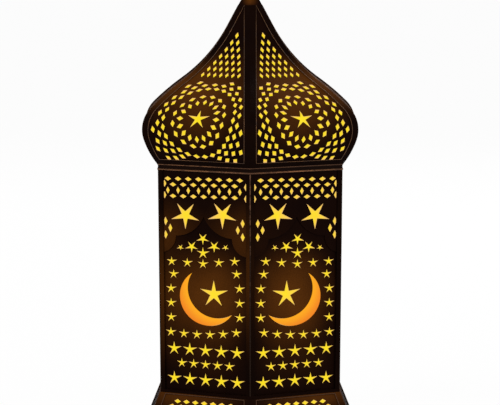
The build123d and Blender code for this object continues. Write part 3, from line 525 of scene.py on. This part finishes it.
@dataclass(frozen=True)
class CrescentPane:
    """Orange pane whose glow is painted light: yellower along the hollow of the crescent and deeper at its
    back.
    """

    name: str
    hollow: Colour = (0.95, 0.41, 0.008)
    back: Colour = (0.80, 0.178, 0.010)
    body: Colour = (0.060, 0.018, 0.002)
    centre_across: float = 0.01126
    centre_height: float = Z_BODY + 0.1009
    stretch: float = 1.15
    inner: float = 0.0265
    outer: float = 0.0385
    cloud_waves: float = 70.0
    cloud_share: float = 0.2
    cloud_tint: float = 0.1
    cloud_gloss: float = 0.15
    cloud_depth: float = 0.1 * MM
    roughness: float = 0.25
    specular: float = 0.1
    brightness: float = 0.94

    def material(self) -> bpy.types.Material:
        """Make the orange pane.

        Returns:
            The material.
        """
        shader = Shader.new(self.name)
        place = WallPlace.of(shader)
        run = (place.mirrored - self.centre_across) / self.stretch
        rise = place.height - self.centre_height
        depth = (run * run + rise * rise).maths("SQRT").smooth(self.inner, self.outer)
        cloud = shader.noise(self.cloud_waves)
        share = depth * (1 - self.cloud_share) + cloud * self.cloud_share
        # Painted light: the glow runs from yellow in the crescent's hollow to deeper orange at its back.
        glow = shader.mix(share.maths("MINIMUM", 1.0), self.hollow, self.back)
        return shader.surface(
            Base_Color=shader.mix(cloud * self.cloud_tint, self.body, self.hollow),
            Roughness=self.roughness + self.cloud_gloss * cloud,
            Specular_Level=self.specular,
            Emission_Color=glow,
            Emission_Strength=self.brightness,
            Normal=shader.bump(cloud, self.cloud_depth),
        )


@dataclass(frozen=True)
class AgedBronze:
    """Bronze with dark patina in patches and fine rub marks; in the given highlight patches the patina is
    thin and bare bronze shows as a painted highlight.
    """

    name: str
    metal: Colour = (0.085, 0.034, 0.011)
    patina: Colour = (0.018, 0.007, 0.003)
    roughness: float = 0.42
    specular: float = 0.5
    cover: float = 0.75
    wear_and_highlight: tuple[Glow, ...] = ()
    bare_metal: float = 0.9
    patina_loss: float = 0.45
    patina_gloss: float = 0.2
    patch_waves: float = 140.0
    patch_edge: Span = (0.42, 0.64)
    patch_share: float = 0.6
    mark_waves: float = 900.0
    mark_run: Place = (1.0, 1.0, 0.25)
    mark_gloss: float = 0.15
    relief_depth: float = 0.08 * MM

    def material(self) -> bpy.types.Material:
        """Make the bronze.

        Returns:
            The material.
        """
        shader = Shader.new(self.name)
        patches = shader.noise(self.patch_waves, detail=5.0)
        marks = shader.noise(self.mark_waves, detail=2.0, stretch=self.mark_run)
        aged = patches.smooth(*self.patch_edge)
        # Painted highlight: outside the given patches the patina covers fully, and inside them the bare
        # bronze shows.
        if self.wear_and_highlight:
            place = WallPlace.of(shader)
            covered = 1 - sum(patch.amount(place) for patch in self.wear_and_highlight)
            aged = (aged + covered.maths("MAXIMUM", 0.0)).maths("MINIMUM", 1.0)
        relief = patches * self.patch_share + marks * (1 - self.patch_share)
        gloss = self.patina_gloss * aged + self.mark_gloss * (marks - NOISE_MEAN)
        return shader.surface(
            Base_Color=shader.mix(aged * self.cover, self.metal, self.patina),
            Metallic=self.bare_metal - self.patina_loss * aged,
            Specular_Level=self.specular,
            Roughness=self.roughness + gloss,
            Normal=shader.bump(relief, self.relief_depth),
        )


@dataclass(frozen=True)
class BrushedSteel:
    """Steel with brush marks along the lantern's height."""

    name: str
    metal: Colour = (0.22, 0.195, 0.17)
    dull: Colour = (0.132, 0.1131, 0.0935)
    roughness: float = 0.40
    mark_waves: float = 1600.0
    mark_run: Place = (1.0, 1.0, 0.08)
    mark_gloss: float = 0.2
    mark_depth: float = 0.03 * MM
    stain_waves: float = 220.0
    stain_edge: Span = (0.4, 0.75)
    stain_share: float = 0.6
    stain_gloss: float = 0.1

    def material(self) -> bpy.types.Material:
        """Make the steel.

        Returns:
            The material.
        """
        shader = Shader.new(self.name)
        marks = shader.noise(self.mark_waves, detail=2.0, stretch=self.mark_run)
        stain = shader.noise(self.stain_waves, detail=4.0)
        stained = stain.smooth(*self.stain_edge) * self.stain_share
        rough = self.roughness + self.mark_gloss * (marks - NOISE_MEAN) + self.stain_gloss * stain
        return shader.surface(
            Base_Color=shader.mix(stained, self.metal, self.dull),
            Metallic=1.0,
            Roughness=rough,
            Normal=shader.bump(marks, self.mark_depth),
        )


@dataclass(frozen=True)
class Moulded:
    """Moulded or dipped stuff: one hue with cloudy tone and a fine grain."""

    name: str
    light: Colour
    dark: Colour
    roughness: float = 0.5
    grain: float = 1800.0
    depth: float = 0.06 * MM
    emission: Colour | None = None
    brightness: float = 0.9
    subsurface: float = 0.0
    cloud_waves: float = 90.0
    grain_gloss: float = 0.18

    def material(self) -> bpy.types.Material:
        """Make the moulded finish.

        Returns:
            The material.
        """
        shader = Shader.new(self.name)
        cloud = shader.noise(self.cloud_waves, detail=4.0)
        grain = shader.noise(self.grain, detail=2.0)
        inputs: dict[str, Input] = {
            "Base_Color": shader.mix(cloud, self.dark, self.light),
            "Roughness": self.roughness + self.grain_gloss * (grain - NOISE_MEAN),
            "Normal": shader.bump(grain, self.depth),
        }
        if self.emission:
            inputs["Emission_Color"] = shader.mix(cloud, self.emission, self.light)
            inputs["Emission_Strength"] = self.brightness
        if self.subsurface:
            inputs["Subsurface_Weight"] = self.subsurface
        return shader.surface(**inputs)


@dataclass
class Bead:
    """A round bronze bead that follows edges of a piece of the frame."""

    name: str
    node: str
    side: Side
    radius: float
    low: float
    high: float
    material: bpy.types.Material
    outward: float = 0.3
    flat: float = 0.1
    upright: float = 0.9
    flush: float = 0.9
    body: str = "lantern"
    weld: float = 0.002 * MM
    rings: int = 2

    def chosen(self, edge: bmesh.types.BMEdge) -> bool:
        """Whether the bead runs along this edge.

        Args:
            edge: An edge of the node's welded mesh.

        Returns:
            True for an edge of the wanted kind between the bead's levels.
        """
        if len(edge.link_faces) != 2:
            return False
        middle = (edge.verts[0].co + edge.verts[1].co) / 2
        if not self.low < middle.z < self.high:
            return False
        corner = nearest_corner(middle)
        dots = sorted(face.normal.dot(corner) for face in edge.link_faces)
        if self.side is Side.STEP:
            return abs(dots[0]) < self.flat and dots[1] > self.outward
        along = (edge.verts[1].co - edge.verts[0].co).normalized()
        bend = edge.link_faces[0].normal.dot(edge.link_faces[1].normal)
        return dots[0] > self.outward and abs(along.z) > self.upright and bend < self.flush

    def runs(self) -> list[list[Vector]]:
        """Chains of points along the chosen edges.

        Returns:
            One list of points for each unbroken run.
        """
        mesh = bmesh.new()
        mesh.from_mesh(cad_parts[self.node].data)
        bmesh.ops.remove_doubles(mesh, verts=mesh.verts, dist=self.weld)
        mesh.normal_update()
        links: dict[int, list[int]] = {}
        for edge in mesh.edges:
            if self.chosen(edge):
                first, second = edge.verts[0].index, edge.verts[1].index
                links.setdefault(first, []).append(second)
                links.setdefault(second, []).append(first)
        mesh.verts.ensure_lookup_table()
        points = {index: mesh.verts[index].co.copy() for index in links}
        mesh.free()
        return [[points[index] for index in chain] for chain in chains(links)]

    def build(self) -> bpy.types.Object:
        """Make the bead.

        Returns:
            The curve object, riding on its body.
        """
        curve = bpy.data.curves.new(self.name, "CURVE")
        curve.dimensions = "3D"
        curve.bevel_depth = self.radius
        curve.bevel_resolution = self.rings
        curve.use_fill_caps = True
        for run in self.runs():
            closed = run[0] == run[-1]
            kept = run[:-1] if closed else run
            spline = curve.splines.new("POLY")
            spline.points.add(len(kept) - 1)
            for point, place in zip(spline.points, kept):
                point.co = (*place, 1.0)
            spline.use_cyclic_u = closed
            spline.use_smooth = True
        piece = bpy.data.objects.new(self.name, curve)
        bpy.context.scene.collection.objects.link(piece)
        curve.materials.append(self.material)
        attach(piece, self.body)
        return piece


def nearest_corner(place: Vector) -> Vector:
    """Direction, in plan, of the lantern's corner that is nearest to a place."""
    turns = round(atan2(place.y, place.x) / FACE_STEP - 0.5) + 0.5
    return Vector((cos(turns * FACE_STEP), sin(turns * FACE_STEP), 0))


def chains(links: dict[int, list[int]]) -> list[list[int]]:
    """Join edges into runs.

    Args:
        links: The neighbours of each point.

    Returns:
        Lists of points; a closed run ends at its first point.
    """
    used: set[frozenset[int]] = set()
    found: list[list[int]] = []
    ends = [point for point, near in links.items() if len(near) != 2]
    for start in ends + list(links):
        for following in links[start]:
            if frozenset((start, following)) in used:
                continue
            run = [start]
            here, ahead = start, following
            while frozenset((here, ahead)) not in used:
                used.add(frozenset((here, ahead)))
                run.append(ahead)
                onward = [point for point in links[ahead] if point != here]
                if len(links[ahead]) != 2 or not onward:
                    break
                here, ahead = ahead, onward[0]
            found.append(run)
    return found


def dress(node: str, material: bpy.types.Material) -> None:
    """Give a node of the frame its finish.

    Args:
        node: Name of the node.
        material: Its finish.
    """
    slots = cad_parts[node].data.materials
    slots.clear()
    slots.append(material)
    log.info("dressed %s with %s", node, material.name)


def soften(node: str, width: float, sharp: float = 40.0, rows: int = 2) -> None:
    """Round the sharp edges of a node where the light catches them.

    Args:
        node: Name of the node.
        width: Width of the rounding in metres.
        sharp: Angle in degrees above which an edge is rounded.
        rows: Rows of faces across the rounding.
    """
    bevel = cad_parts[node].modifiers.new("rounded_edges", "BEVEL")
    bevel.width = width
    bevel.segments = rows
    bevel.limit_method = "ANGLE"
    bevel.angle_limit = radians(sharp)
    bevel.use_clamp_overlap = True
    bevel.harden_normals = False


@dataclass
class Casing:
    """Plinth, skirt, frames, posts and walls of the body."""

    bead_radius: float = 0.42 * MM
    post_bead_radius: float = 0.55 * MM
    cornice_bead_radius: float = 0.80 * MM
    edge: float = 0.25 * MM
    cornice_reach: float = 10 * MM
    # The two posts beside the door are stepped and have no ridge.
    ridged_corners: tuple[str, ...] = ("left_back", "left_front", "front", "right_front")
    # Painted highlight: bare bronze shows on both cornice beads towards one side of each face; on the
    # right half the upper bead keeps a tenth of it, as painted shade.
    beading: AgedBronze = AgedBronze(
        "casing_beading_bronze",
        metal=(0.21, 0.094, 0.042),
        patina=(0.032, 0.014, 0.008),
        specular=0.2,
        wear_and_highlight=(
            Glow(-0.045, CORNICE_TOP, 0.130, 0.0035, 1.2, right=0.1),
            Glow(-0.045, CORNICE_FOOT, 0.130, 0.0035, 1.2),
        ),
    )
    # Painted highlight: the post beads show bare bronze towards their tops, fading downwards; elsewhere
    # the patina keeps them dark.
    post_beading: AgedBronze = AgedBronze(
        "post_beading_bronze",
        metal=(0.15, 0.073, 0.040),
        patina=(0.010, 0.0045, 0.0025),
        specular=0.08,
        cover=0.96,
        wear_and_highlight=(Glow(0.048, Z_DOME + 0.010, 0.130, 0.160, 1.0),),
    )
    plain: SheetPaint = SheetPaint("casing_paint")
    # Painted light: warm glows down the posts; on the right half the first is left out and the second kept
    # at a fifth, as painted shade.
    post: SheetPaint = SheetPaint(
        "post_paint",
        deep=(0.0018, 0.0006, 0.0005),
        painted_glows=(
            Glow(-0.052, Z_BODY + 0.095, 0.040, 0.090, 0.55, right=0.0),
            Glow(0.052, Z_BODY + 0.110, 0.020, 0.090, 0.50, right=0.2),
        ),
    )
    # Painted light: a warm glow round the crescent and stars, a second one to one side that the right half
    # leaves out as painted shade, and a weak one lower down.
    panel: SheetPaint = SheetPaint(
        "star_panel_paint",
        painted_glows=(
            Glow(0.004, Z_BODY + 0.095, 0.060, 0.060, 0.95),
            Glow(-0.046, Z_BODY + 0.095, 0.040, 0.080, 0.35, right=0.0),
            Glow(0.0, Z_BODY + 0.047, 0.055, 0.050, 0.20),
        ),
    )
    # Painted light: warm glows towards both sides of each arch plate at spandrel height; the right half
    # keeps little of them, as painted shade.
    arch: SheetPaint = SheetPaint(
        "arch_plate_paint",
        painted_glows=(
            Glow(-0.046, Z_BODY + 0.148, 0.064, 0.048, 0.46, right=0.0),
            Glow(0.046, Z_BODY + 0.148, 0.064, 0.048, 0.46, right=0.12),
        ),
    )
    # Painted light: a warm glow along the top of the skirt, under the lit body.
    skirt: SheetPaint = SheetPaint(
        "skirt_paint", painted_glows=(Glow(-0.022, Z_BODY, 0.080, 0.020, 0.8),)
    )
    frame_paint: SheetPaint = SheetPaint(
        "frame_paint", deep=(0.0036, 0.0013, 0.0009), worn=(0.030, 0.014, 0.007), specular=0.02
    )

    def dress(self) -> None:
        """Give the casing its paint."""
        plain = self.plain.material()
        post = self.post.material()
        panel = self.panel.material()
        arch = self.arch.material()
        skirt = self.skirt.material()
        rim = self.frame_paint.material()
        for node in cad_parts:
            if node.startswith("corner_post_"):
                dress(node, post)
            elif node.startswith("arch_plate_") or node == "door_arch_plate":
                dress(node, arch)
            elif node.startswith("star_panel_") or node == "door_star_panel":
                dress(node, panel)
            elif node in ("skirt_panels", "skirt_ribs"):
                dress(node, skirt)
        dress("bottom_frame", plain)
        for node in ("base_plate", "plinth", "cornice", "door_frame"):
            dress(node, rim)
            soften(node, self.edge)

    def build(self) -> None:
        """Run the bronze beads along the casing's edges."""
        bronze = self.beading.material()
        beads = [
            Bead(
                name="cornice_beading",
                node="cornice",
                side=Side.STEP,
                radius=self.cornice_bead_radius,
                low=Z_DOME - self.cornice_reach,
                high=Z_DOME + self.cornice_reach,
                material=bronze,
            ),
            Bead(
                name="skirt_beading",
                node="skirt_ribs",
                side=Side.STEP,
                radius=self.bead_radius,
                low=Z_SKIRT + FOOT_GAP,
                high=Z_BODY - HEAD_GAP,
                material=bronze,
            ),
        ]
        bronze = self.post_beading.material()
        for corner in self.ridged_corners:
            beads.append(
                Bead(
                    name=f"corner_post_{corner}_beading",
                    node=f"corner_post_{corner}",
                    side=Side.RIDGE,
                    radius=self.post_bead_radius,
                    low=Z_BODY,
                    high=Z_DOME,
                    material=bronze,
                )
            )
        for bead in beads:
            piece = bead.build()
            log.info("built %s with %d runs", piece.name, len(piece.data.splines))


@dataclass
class Dome:
    """Gores, rib cage and panes of the dome, with its crown, finial and ring."""

    bead_radius: float = 0.36 * MM
    # Painted light: warm glows round the rosette, a weak one low on each gore and one on its shoulder, to
    # one side.
    gore: SheetPaint = SheetPaint(
        "dome_gore_paint",
        painted_glows=(
            Glow(0.0, Z_DOME + 0.064, 0.070, 0.050, 0.70),
            Glow(0.0, Z_DOME + 0.030, 0.050, 0.030, 0.15),
            Glow(-0.040, Z_DOME + 0.082, 0.058, 0.034, 0.55),
        ),
    )
    # Painted sheen: a warm patch on the ribs at the dome's shoulder.
    rib: SheetPaint = SheetPaint(
        "dome_rib_paint",
        deep=(0.0020, 0.0006, 0.0005),
        painted_glows=(Glow(-0.050, Z_DOME + 0.076, 0.060, 0.034, 0.9),),
        roughness=0.60,
        specular=0.012,
    )
    # Painted highlight: a warm patch near the top of the crown, a little weaker on the right half.
    crown: SheetPaint = SheetPaint(
        "crown_paint", painted_glows=(Glow(0.0064, Z_CROWN + 0.007, 0.012, 0.011, 1.1, right=0.9),)
    )
    bronze: AgedBronze = AgedBronze("finial_bronze")
    beading: AgedBronze = AgedBronze(
        "dome_beading_bronze", metal=(0.11, 0.052, 0.023), patina=(0.026, 0.012, 0.007)
    )

    def dress(self) -> None:
        """Give the dome and its crown their paint and the finial the bronze."""
        gore = self.gore.material()
        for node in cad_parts:
            if node.startswith("dome_gore_"):
                dress(node, gore)
        dress("dome_ribs", self.rib.material())
        dress("crown", self.crown.material())
        bronze = self.bronze.material()
        for node in ("finial", "hanging_ring", "door_knob", "candle_cup"):
            dress(node, bronze)

    def build(self) -> None:
        """Run the bronze bead along the rib cage's windows."""
        bead = Bead(
            name="dome_beading",
            node="dome_ribs",
            side=Side.STEP,
            radius=self.bead_radius,
            low=Z_DOME + FOOT_GAP,
            high=Z_CROWN - HEAD_GAP,
            material=self.beading.material(),
        )
        piece = bead.build()
        log.info("built %s with %d runs", piece.name, len(piece.data.splines))


@dataclass
class Lining:
    """Lit panes behind the cut-outs, and the crescents."""

    amber: LitPane = LitPane("amber_pane_lit")
    orange: CrescentPane = CrescentPane("crescent_pane_lit")

    def dress(self) -> None:
        """Give the panes their glow."""
        amber = self.amber.material()
        for node in ("skirt_panes", "wall_panes", "door_pane", "dome_panes"):
            dress(node, amber)
        orange = self.orange.material()
        for node in ("crescent_panes", "door_crescent_pane"):
            dress(node, orange)


@dataclass
class Works:
    """Battery candle, switch, hinges, catch and feet."""

    steel: BrushedSteel = BrushedSteel("hardware_steel")
    rubber: Moulded = Moulded(
        "foot_rubber_finish", (0.030, 0.029, 0.028), (0.012, 0.012, 0.012), 0.75, 900.0
    )
    plastic: Moulded = Moulded("black_plastic_finish", (0.026, 0.026, 0.027), (0.014, 0.014, 0.015), 0.5)
    wax: Moulded = Moulded(
        "candle_wax_finish", (0.84, 0.71, 0.48), (0.72, 0.56, 0.33), 0.55, 260.0, 0.2 * MM, subsurface=0.15
    )
    flame: Moulded = Moulded(
        "flame_lens_finish", (1.0, 0.68, 0.22), (0.95, 0.50, 0.10), 0.35, 500.0, emission=(1.0, 0.45, 0.06)
    )
    wrap: Moulded = Moulded("cell_wrap_finish", (0.05, 0.055, 0.065), (0.025, 0.027, 0.032), 0.35)
    board: Moulded = Moulded("circuit_board_finish", (0.03, 0.17, 0.07), (0.015, 0.09, 0.035), 0.4)
    lead: Moulded = Moulded("lead_cover_finish", (0.42, 0.035, 0.025), (0.28, 0.02, 0.016), 0.45)

    def dress(self) -> None:
        """Give each fitting its finish."""
        steel = self.steel.material()
        for node in (
            "foot_screws",
            "hinge_pins",
            "finial_nut",
            "door_hinge_leaves",
            "post_hinge_leaves",
            "door_strike",
        ):
            dress(node, steel)
        plastic = self.plastic.material()
        for node in ("battery_box", "battery_cover", "switch_body", "switch_slider", "magnet_catch"):
            dress(node, plastic)
        dress("feet", self.rubber.material())
        dress("candle_body", self.wax.material())
        dress("flame_lens", self.flame.material())
        dress("battery_cells", self.wrap.material())
        dress("led_board", self.board.material())
        dress("led_leads", self.lead.material())


@dataclass(frozen=True)
class SoftLamp:
    """A large square lamp: where it hangs, the side of its face in metres and its power in watts."""

    name: str
    place: Place
    size: float
    power: float

    def hang(self, aim: Vector) -> None:
        """Hang the lamp.

        Args:
            aim: The place that it looks at.
        """
        data = bpy.data.lights.new(self.name, "AREA")
        data.size = self.size
        data.energy = self.power
        lamp = bpy.data.objects.new(self.name, data)
        lamp.location = self.place
        direction = aim - Vector(self.place)
        lamp.rotation_euler = direction.to_track_quat("-Z", "Y").to_euler()
        bpy.context.scene.collection.objects.link(lamp)


@dataclass
class Studio:
    """Pale floor, soft light and the camera at the photograph's angle."""

    floor_reach: float = 40.0
    floor_tone: float = 0.86
    floor_white: float = 0.95
    ambient: float = 0.5
    aim_height: float = 0.2256
    distance: float = 3.168
    tilt: float = 5.57
    focal: float = 3305.0
    image_width: float = 500.0
    sensor: float = 36.0
    shift: float = -0.0004
    view_reach: float = 200.0
    lamps: tuple[SoftLamp, ...] = (
        SoftLamp("key_lamp", (-1.6, -2.2, 2.2), 1.6, 55.0),
        SoftLamp("fill_lamp", (2.0, -1.6, 1.4), 1.8, 30.0),
        SoftLamp("back_lamp", (0.6, 2.4, 2.0), 1.6, 35.0),
    )

    def rays_to_eye(self, shader: Shader) -> Value:
        """Whether a ray comes from the camera or by way of a mirror or glass.

        Args:
            shader: Material or world that the node goes into.

        Returns:
            1 for such a ray and 0 for light that falls on things.
        """
        kinds = (RAY_CAMERA, RAY_GLOSSY, RAY_TRANSMITTED)
        seen = [shader.node("ShaderNodeLightPath", output=kind) for kind in kinds]
        return (seen[0] + seen[1] + seen[2]).maths("MINIMUM", 1.0)

    def build_floor(self) -> None:
        """Lay the floor, white to the eye but still shaded by the lantern."""
        mesh = bpy.data.meshes.new("studio_floor")
        reach = self.floor_reach
        corners = [(-reach, -reach, 0), (reach, -reach, 0), (reach, reach, 0), (-reach, reach, 0)]
        mesh.from_pydata(corners, [], [(0, 1, 2, 3)])
        floor = bpy.data.objects.new("studio_floor", mesh)
        bpy.context.scene.collection.objects.link(floor)
        shader = Shader.new("studio_floor_paper")
        tone = self.floor_tone
        paper = shader.node("ShaderNodeBsdfDiffuse", None, {"Color": (tone, tone, tone, 1.0)})
        inputs = {"Color": (1.0, 1.0, 1.0, 1.0), "Strength": 1.0}
        white = shader.node("ShaderNodeEmission", None, inputs)
        share = self.rays_to_eye(shader) * self.floor_white
        shader.finish(shader.node("ShaderNodeMixShader", None, {0: share, 1: paper, 2: white}))
        mesh.materials.append(shader.holder)

    def build_light(self) -> None:
        """Hang three large soft lamps and set an even sky."""
        world = bpy.data.worlds.new("studio_sky")
        bpy.context.scene.world = world
        shader = Shader(world)
        tone = self.ambient
        inputs = {"Color": (tone, tone, tone, 1.0), "Strength": 1.0}
        fill = shader.node("ShaderNodeBackground", None, inputs)
        inputs = {"Color": (1.0, 1.0, 1.0, 1.0), "Strength": 1.0}
        white = shader.node("ShaderNodeBackground", None, inputs)
        camera = shader.node("ShaderNodeLightPath", output=RAY_CAMERA)
        shader.finish(shader.node("ShaderNodeMixShader", None, {0: camera, 1: fill, 2: white}))
        for lamp in self.lamps:
            lamp.hang(Vector((0, 0, self.aim_height)))

    def build_camera(self) -> None:
        """Set the camera to the photograph's view of the front corner, and plain colours."""
        data = bpy.data.cameras.new("photo_camera")
        data.sensor_width = self.sensor
        data.lens = self.focal / self.image_width * self.sensor
        data.shift_x = self.shift
        data.clip_end = self.view_reach
        camera = bpy.data.objects.new("photo_camera", data)
        tilt = radians(self.tilt)
        camera.location = (0, -self.distance * cos(tilt), self.aim_height + self.distance * sin(tilt))
        camera.rotation_euler = (pi / 2 - tilt, 0, 0)
        bpy.context.scene.collection.objects.link(camera)
        bpy.context.scene.camera = camera
        bpy.context.scene.view_settings.view_transform = "Standard"


def main() -> None:
    """Build the studio, dress the lantern and run its bronze beads."""
    logging.basicConfig(level=logging.INFO, format="%(name)s: %(message)s")
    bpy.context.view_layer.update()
    studio = Studio()
    studio.build_camera()
    studio.build_floor()
    studio.build_light()
    casing = Casing()
    casing.dress()
    casing.build()
    dome = Dome()
    dome.dress()
    dome.build()
    Lining().dress()
    Works().dress()


if __name__ == "__main__":
    main()
